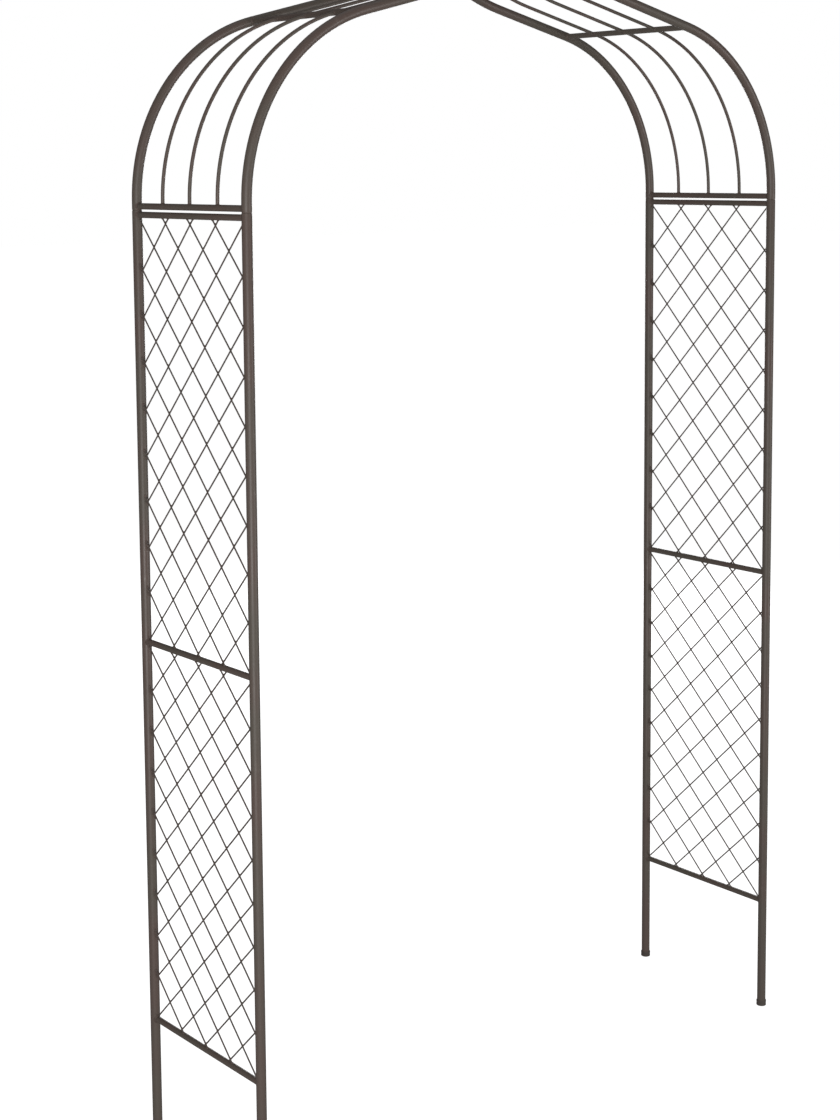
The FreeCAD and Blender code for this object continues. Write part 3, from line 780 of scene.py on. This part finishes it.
button = turned("button", button_outline, BUTTON_SIDES, closed=False)
settle(button, ALONG_X)
spot_welds = {}
for section in SECTIONS:
    grid_z, row = grid_rows(section)
    first = (LEG_X, grid_y + column / 2, grid_z + row / 2)
    between_rows = copy_piece(button, "between", place=first)
    grid_of(between_rows, COLUMNS, ROWS, column, row)
    on_rows = copy_piece(button, "on_rows", place=(LEG_X, grid_y + column, grid_z))
    grid_of(on_rows, COLUMNS - 1, ROWS + 1, column, row)
    beside_legs = copy_piece(button, "beside_legs", place=(LEG_X, grid_y, grid_z + row))
    grid_of(beside_legs, 2, ROWS - 1, column * COLUMNS, row)
    spot_welds[section] = [between_rows, on_rows, beside_legs]
bpy.data.objects.remove(button)

# %% [markdown]
# Each wire also ends in a small dab of weld on a leg or a bar. Seen close, it is a low mound,
# longer the way the wire leans. A wire meets a tube's skin a little past the last crossing, so
# the dab sits off the grid by what the wire climbs over that distance.

# %% Weld dabs at the wires' ends
DAB_SIDES = 10
LEAN = 1.5  # how much longer a dab is the way its wire leans
dab_outline = [(2.5, -0.7), (2.4, 0.3), (1.9, 1.1), (1.0, 1.7)]
dab = turned("dab", dab_outline, DAB_SIDES, closed=False)


def dabs_on_leg(section, end, layer_x, climb):
    """Nine dabs up one leg for one layer."""
    grid_z, row = grid_rows(section)
    inwards = 1 if end == "front" else -1
    rises = climb * inwards > 0
    reach = (SIDE_GAP - TUBE_RADIUS) / column * row
    first = -reach if rises else row + reach
    turn = Matrix.Rotation(-inwards * math.pi / 2, 4, "X") @ Matrix.Diagonal((1, LEAN, 1, 1))
    place = (LEG_X + layer_x, END_Y[end] + inwards * TUBE_RADIUS, grid_z + first)
    dabs = copy_piece(dab, "dabs", turn, place)
    grid_of(dabs, 1, ROWS, 0, row)
    return dabs


def dabs_on_bar(section, upwards, layer_x, climb):
    """Three dabs along one bar for one layer, on top of the lower bar or under the upper one."""
    grid_z, row = grid_rows(section)
    low_bar, high_bar = SECTIONS[section]
    side, bar_name, gap = (1, low_bar, BOTTOM_GAP) if upwards else (-1, high_bar, TOP_GAP)
    travel = (BAR_RADIUS - gap) * side * climb / row * column
    turn = Matrix.Identity(4) if upwards else Matrix.Rotation(math.pi, 4, "X")
    place = (LEG_X + layer_x, grid_y + column + travel, bar_place[bar_name].z + side * BAR_RADIUS)
    dabs = copy_piece(dab, "dabs", turn, place)
    grid_of(dabs, COLUMNS - 1, 1, column, 0)
    return dabs


for section in SECTIONS:
    parts = spot_welds[section]
    for climb, layer_x in LAYERS.values():
        parts += [dabs_on_leg(section, end, layer_x, climb) for end in END_Y]
        parts += [dabs_on_bar(section, upwards, layer_x, climb) for upwards in (True, False)]
    left = join_pieces(f"left_{section}_spot_welds", parts)
    right = copy_piece(left, f"right_{section}_spot_welds", HALF_TURN)
    hand_in(left, weld_coat, "coated_wire")
    hand_in(right, weld_coat, "coated_wire")
bpy.data.objects.remove(dab)
print("spot welds:", pieces["left_lower_spot_welds"], "faces a section")

# %% [markdown]
# A welder runs a bead round each bar where it meets its post, and round each rod where it meets a
# bar. The bead is a closed ring with a hollowed face, coped to the post like the bar's own end,
# so it follows the saddle between the two. Real beads are rippled. A slight random push of its
# points, with a fixed seed so that every run gives the same, roughens the joined beads after they
# are placed.

# %% Weld beads
bar_bead_outline = [(5.9, 11.6), (6.4, 11.2), (6.9, 10.5), (7.5, 9.9), (7.9, 9.3), (5.7, 9.0)]
rod_bead_outline = [(3.4, 7.5), (3.9, 7.1), (4.3, 6.5), (4.8, 6.0), (5.1, 5.6), (3.2, 5.3)]
OVER_ANY_BEAD = 100 * MM
bar_bead = cope(turned("bar_bead", bar_bead_outline, BAR_SIDES), TUBE_RADIUS, OVER_ANY_BEAD)
rod_bead = cope(turned("rod_bead", rod_bead_outline, ROD_SIDES), BAR_RADIUS, OVER_ANY_BEAD)
RIPPLE = 0.12 * MM


def ripple(piece, seed):
    """Pushes every point a little, the same way on every run."""
    only(piece)
    bpy.ops.object.mode_set(mode="EDIT")
    bpy.ops.mesh.select_all(action="SELECT")
    bpy.ops.transform.vertex_random(offset=RIPPLE, uniform=0, normal=1, seed=seed)
    only(piece)


def beads_on_posts(bars):
    """A bead at both ends of each bar."""
    beads = []
    for name in bars:
        for end, y in END_Y.items():
            turn = on_post((0, -y, 0), post_line[name])
            place = (bar_place[name].x, y, bar_place[name].z)
            beads.append(copy_piece(bar_bead, "bead", turn, place))
    return beads


def beads_on_bars(bars_and_directions):
    """A bead at each rod's end, on the side of the bar that the direction points to."""
    beads = []
    for name, direction in bars_and_directions:
        for y in rod_row:
            place = (bar_place[name].x, y, bar_place[name].z)
            beads.append(copy_piece(rod_bead, "bead", on_post(direction, (0, 1, 0)), place))
    return beads


rod_ends = [
    ("base_bar", sloping(math.pi / 2)),
    ("shoulder_bar", -run_along),
    ("shoulder_bar", run_along),
    ("apex_bar", -sloping(apex_slope)),
]
bead_sets = {
    "panel_weld_beads": beads_on_posts(BARS[:3]),
    "top_weld_beads": beads_on_posts(BARS[3:]),
    "rod_weld_beads": beads_on_bars(rod_ends),
}
for seed, (name, beads) in enumerate(bead_sets.items(), start=1):
    left = join_pieces(f"left_{name}", beads)
    right = copy_piece(left, f"right_{name}", HALF_TURN)
    for piece, side_seed in ((left, seed), (right, seed + len(bead_sets))):
        ripple(piece, side_seed)
        hand_in(piece, weld_coat, "coated_tube")
bpy.data.objects.remove(bar_bead)
bpy.data.objects.remove(rod_bead)
print("weld beads:", [name for name in pieces if name.endswith("beads")])

# %% [markdown]
# At the peak each bent tube is closed by a small drilled plate, and two plates are bolted face to
# face. A plate is a block, with the corners of its outline rounded by a bevel. A Boolean drills
# it, and a fine bevel all round breaks its edges, as tumbling does to a punched plate. Where the
# sloping tube meets the plate, the weld bead is an oval, so a round bead is stretched to the saw
# cut's height.

# %% The apex plates
BOLT_RADIUS = 3 * MM
HOLE_RADIUS = 3.3 * MM
BIT_REACH = 20  # millimetres to each side of the hole's middle
BIT_SIDES = 32
CORNER = 4 * MM
EDGE = 0.35 * MM
PLATE_BEAD_SIDES = 40
bolt_low, bolt_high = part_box("apex_bolts")
BOLT_Z = (bolt_low.z + bolt_high.z) / 2


def drill(piece, radius, place, turn):
    """Cuts a round hole through a piece."""
    bit_outline = [(radius / MM, -BIT_REACH), (radius / MM, BIT_REACH)]
    bit = turned("bit", bit_outline, BIT_SIDES, closed=False)
    settle(bit, turn, place)
    apply_modifier(piece, "BOOLEAN", operation="DIFFERENCE", object=bit, solver="EXACT")
    bpy.data.objects.remove(bit)


def pick_edges_along_x(piece):
    """Selects the edges that run along X."""
    bpy.ops.mesh.select_mode(type="EDGE")
    bpy.ops.mesh.select_all(action="DESELECT")
    mesh = bmesh.from_edit_mesh(piece.data)
    for edge in mesh.edges:
        start, end = (point.co for point in edge.verts)
        edge.select = abs(start.x - end.x) > SAME
    mesh.select_flush_mode()
    bmesh.update_edit_mesh(piece.data)


def rounded_plate(name, low, high):
    """A plate between two corners of its box, with its outline's corners rounded."""
    bpy.ops.object.select_all(action="DESELECT")
    bpy.ops.mesh.primitive_cube_add(size=1)
    plate = bpy.context.object
    plate.name = plate.data.name = name
    settle(plate, Matrix.Diagonal((*(high - low), 1)), (low + high) / 2)
    bpy.ops.object.mode_set(mode="EDIT")
    pick_edges_along_x(plate)
    bpy.ops.mesh.bevel(offset=CORNER, segments=6, affect="EDGES")
    only(plate)
    return plate


plate = rounded_plate("plate", plate_low, plate_high)
drill(plate, HOLE_RADIUS, (0, FRONT_Y, BOLT_Z), ALONG_X)
apply_modifier(plate, "BEVEL", width=EDGE, segments=2, limit_method="ANGLE")

cut_x = (PLATE_FACE_X - tip_centre.x) / TIP_RADIUS
cut_z = tip_centre.z - TIP_RADIUS * math.sqrt(1 - cut_x**2)
stretch = 1 / math.cos(tip_slope)
plate_bead_outline = [(9.2, -2.0), (9.8, -1.7), (10.4, -1.1), (11.2, -0.5), (11.6, 0.3), (9.0, 0.3)]
plate_bead = turned("plate_bead", plate_bead_outline, PLATE_BEAD_SIDES)
settle(plate_bead, Matrix.Diagonal((1, 1, stretch, 1)) @ ALONG_X, (PLATE_FACE_X, 0, cut_z))

for end, y in END_Y.items():
    to_end = (0, y - FRONT_Y, 0)
    left = copy_piece(plate, f"left_{end}_peak_plate", place=to_end)
    right = copy_piece(left, f"right_{OTHER_END[end]}_peak_plate", HALF_TURN)
    hand_in(left, tube_coat, "coated_tube", f"left_{end}_apex_plate")
    hand_in(right, tube_coat, "coated_tube", f"right_{OTHER_END[end]}_apex_plate")
    left = copy_piece(plate_bead, f"left_{end}_plate_bead", place=(0, y, 0))
    right = copy_piece(left, f"right_{OTHER_END[end]}_plate_bead", HALF_TURN)
    hand_in(left, weld_coat, "coated_tube")
    hand_in(right, weld_coat, "coated_tube")
bpy.data.objects.remove(plate)
bpy.data.objects.remove(plate_bead)
print("plates:", pieces["left_front_peak_plate"], "faces each")

# %% [markdown]
# The bolts are M6. A hexagon head has a chamfer that a cone cuts, so it shows as an arc on each
# flat. Keeping only what a hexagon and a coned disc share gives exactly that. The nut is the same
# on both faces, with a hole. The thread is rings rather than a helix: only its tip shows past the
# nut.

# %% Bolts, nuts and washers
# These sizes are in millimetres, as the lathe takes them.
ACROSS_FLATS = 10
HEX_RADIUS = ACROSS_FLATS / 2 / math.cos(math.radians(30))
HEAD = 4.0
NUT = 5.0
WASHER = 1.2
CHAMFER_TOP = 4.7
CHAMFER_SIDE = 6.4
CHAMFER = 0.98
SHANK = BOLT_RADIUS / MM
THREAD_ROOT = 2.62
THREAD_START = 14
THREADS = 5
DISC_SIDES = 48
SHANK_SIDES = 24
WASHER_SIDES = 40
BOLT_LENGTH = (bolt_high.x - bolt_low.x) / MM
POINT_UP = ALONG_X @ Matrix.Rotation(math.pi / 2, 4, "Z")


def hexagon(name, cone):
    """A long hexagon cut down to a coned disc, which gives it both its ends."""
    piece = turned(name, [(HEX_RADIUS, -2), (HEX_RADIUS, 8)], 6, closed=False)
    disc = turned("disc", cone, DISC_SIDES, closed=False)
    apply_modifier(piece, "BOOLEAN", operation="INTERSECT", object=disc, solver="EXACT")
    bpy.data.objects.remove(disc)
    bpy.ops.object.mode_set(mode="EDIT")
    clean_up()
    only(piece)
    return piece


shank_outline = [(SHANK, HEAD - 0.4), (SHANK, THREAD_START)]
for ring in range(THREADS):
    ring_start = THREAD_START + ring
    shank_outline += [(THREAD_ROOT, ring_start + 0.5), (SHANK, ring_start + 1)]
shank_outline[-1] = (2.5, BOLT_LENGTH)
bolt = hexagon("bolt", [(CHAMFER_TOP, 0.0), (CHAMFER_SIDE, CHAMFER), (CHAMFER_SIDE, HEAD)])
shank = turned("shank", shank_outline, SHANK_SIDES, closed=False)
apply_modifier(bolt, "BOOLEAN", operation="UNION", object=shank, solver="EXACT")
bpy.data.objects.remove(shank)
settle(bolt, POINT_UP, (bolt_low.x, FRONT_Y, BOLT_Z))

nut_low, nut_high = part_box("apex_nuts")
nut_cone = [
    (CHAMFER_TOP, 0.0),
    (CHAMFER_SIDE, CHAMFER),
    (CHAMFER_SIDE, NUT - CHAMFER),
    (CHAMFER_TOP, NUT),
]
nut = hexagon("nut", nut_cone)
drill(nut, BOLT_RADIUS, HERE, None)
settle(nut, POINT_UP, (nut_low.x, FRONT_Y, BOLT_Z))

washer_low, washer_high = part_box("apex_washers")
washer_outline = [
    (6.0, 0.25),
    (5.8, 0.0),
    (3.3, 0.0),
    (3.3, WASHER),
    (5.8, WASHER),
    (6.0, WASHER - 0.25),
]
washer = turned("washer", washer_outline, WASHER_SIDES)
head_washer = copy_piece(washer, "head_washer", ALONG_X, (washer_low.x, FRONT_Y, BOLT_Z))
nut_side_x = washer_high.x - WASHER * MM
nut_washer = copy_piece(washer, "nut_washer", ALONG_X, (nut_side_x, FRONT_Y, BOLT_Z))
bpy.data.objects.remove(washer)
washers = join_pieces("washers", [head_washer, nut_washer])

for master, name, node in (
    (bolt, "peak_bolts", "apex_bolts"),
    (nut, "peak_nuts", "apex_nuts"),
    (washers, "peak_washers", "apex_washers"),
):
    rear = copy_piece(master, "rear", place=(0, -2 * FRONT_Y, 0))
    hand_in(join_pieces(name, [master, rear]), bolt_coat, "fastener", node)
print("fasteners:", [name for name in pieces if name.startswith("peak_")])

# %% [markdown]
# The stage is a plain pale floor, so that the thin dark tubes stand out as a silhouette. The
# floor is one large sheet that looks lit from below, so it stays white out to the horizon and
# hides the soft shadows of thin tubes. Its glow is seen but casts little light, because strong
# light from below would flatten the tubes. It isn't part of the object.

# %% The floor
bpy.ops.object.select_all(action="DESELECT")
bpy.ops.mesh.primitive_plane_add(size=80)
floor = bpy.context.object
floor.name = floor.data.name = "studio_floor"
floor_material, board, place = new_material("studio_floor_paint")
mottle = speckle(place, 3, 3)
floor_white = mix_colour(mottle, (0.42, 0.42, 0.42, 1), (0.48, 0.48, 0.48, 1))
seen = board.node("ShaderNodeLightPath", {}, {})
glow = mix_colour(seen, (0.05, 0.05, 0.05, 1), (1, 1, 1, 1))
floor_shader = board.node(
    "ShaderNodeBsdfPrincipled",
    {},
    {
        "Base Color": floor_white,
        "Roughness": 0.8 + 0.1 * mottle,
        "Specular IOR Level": 0.0,
        "Emission Color": glow,
        "Emission Strength": 0.95,
    },
)
finish_material(board, floor_shader)
floor.data.materials.append(floor_material)
floor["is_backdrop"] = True

# %% [markdown]
# Soft light comes from all round, so the coat's colour shows rather than its gloss. What the
# camera sees behind the arch is plain white. What lights it is a dimmer grey, and that leaves the
# edges of the tubes darker than their middles. A large softbox near the camera draws the satin
# highlight.

# %% Light
world = bpy.data.worlds.new("studio")
bpy.context.scene.world = world
world.use_nodes = True
world.node_tree.nodes.clear()
sky = Flow(world.node_tree)
looked_at = sky.node("ShaderNodeLightPath", {}, {})
room = sky.node("ShaderNodeBackground", {}, {"Color": (0.97, 0.98, 1.0, 1), "Strength": 0.13})
backdrop = sky.node("ShaderNodeBackground", {}, {"Color": (1, 1, 1, 1), "Strength": 1.0})
both = sky.node("ShaderNodeMixShader", {}, {0: looked_at, 1: room, 2: backdrop})
sky.node("ShaderNodeOutputWorld", {}, {"Surface": both})


def softbox(name, place, aim, size, watts):
    """A square area light that faces a point."""
    light = bpy.data.lights.new(name, "AREA")
    light.size = size
    light.energy = watts
    lamp = bpy.data.objects.new(name, light)
    bpy.context.scene.collection.objects.link(lamp)
    lamp.location = place
    lamp.rotation_euler = (Vector(aim) - Vector(place)).to_track_quat("-Z", "Y").to_euler()
    return lamp


MIDDLE = (0, 0, 1.2)
softbox("key_softbox", (-3.9, -3.2, 1.3), MIDDLE, 1.4, 135)
softbox("fill_softbox", (2.6, -4.2, 1.2), MIDDLE, 1.2, 65)
softbox("back_softbox", (3.6, 3.8, 1.8), MIDDLE, 1.8, 90)
softbox("top_softbox", (0.4, 0.8, 5.5), (0, 0, 0), 4.0, 20)
bpy.context.scene.view_settings.view_transform = "Standard"

# %% [markdown]
# The camera stands at head height, in front of the arch and to its left, and looks a little down.
# Its lens is a short telephoto. The shift moves the picture down without tilting the camera
# further, so that the legs stay nearly upright in the frame.

# %% The camera
EYE = (-2.6142, -3.0111, 1.9152)
TURNED_RIGHT = math.radians(39.249)
TILTED_DOWN = math.radians(6.163)
ROLLED = math.radians(-0.413)
camera_data = bpy.data.cameras.new("camera")
camera_data.lens = 62.70
camera_data.shift_y = -0.165
camera = bpy.data.objects.new("camera", camera_data)
bpy.context.scene.collection.objects.link(camera)
camera.matrix_world = (
    Matrix.Translation(EYE)
    @ Matrix.Rotation(-TURNED_RIGHT, 4, "Z")
    @ Matrix.Rotation(math.pi / 2 - TILTED_DOWN, 4, "X")
    @ Matrix.Rotation(ROLLED, 4, "Z")
)
bpy.context.scene.camera = camera
print(f"camera {camera_data.lens} mm, {Vector(EYE).length:.2f} m from the origin")

# %% [markdown]
# Last, the model's box is measured against the CAD box. The two should agree to a few
# millimetres, because a weld bead may stand proud of a tube but nothing may change the arch's
# size.

# %% Measure and finish
low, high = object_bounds()
print(f"{len(pieces)} pieces, {sum(pieces.values())} faces")
differences = [(a - b) / MM for a, b in zip((*low, *high), (*cad_low, *cad_high))]
print("box differs by", [round(difference, 2) for difference in differences])
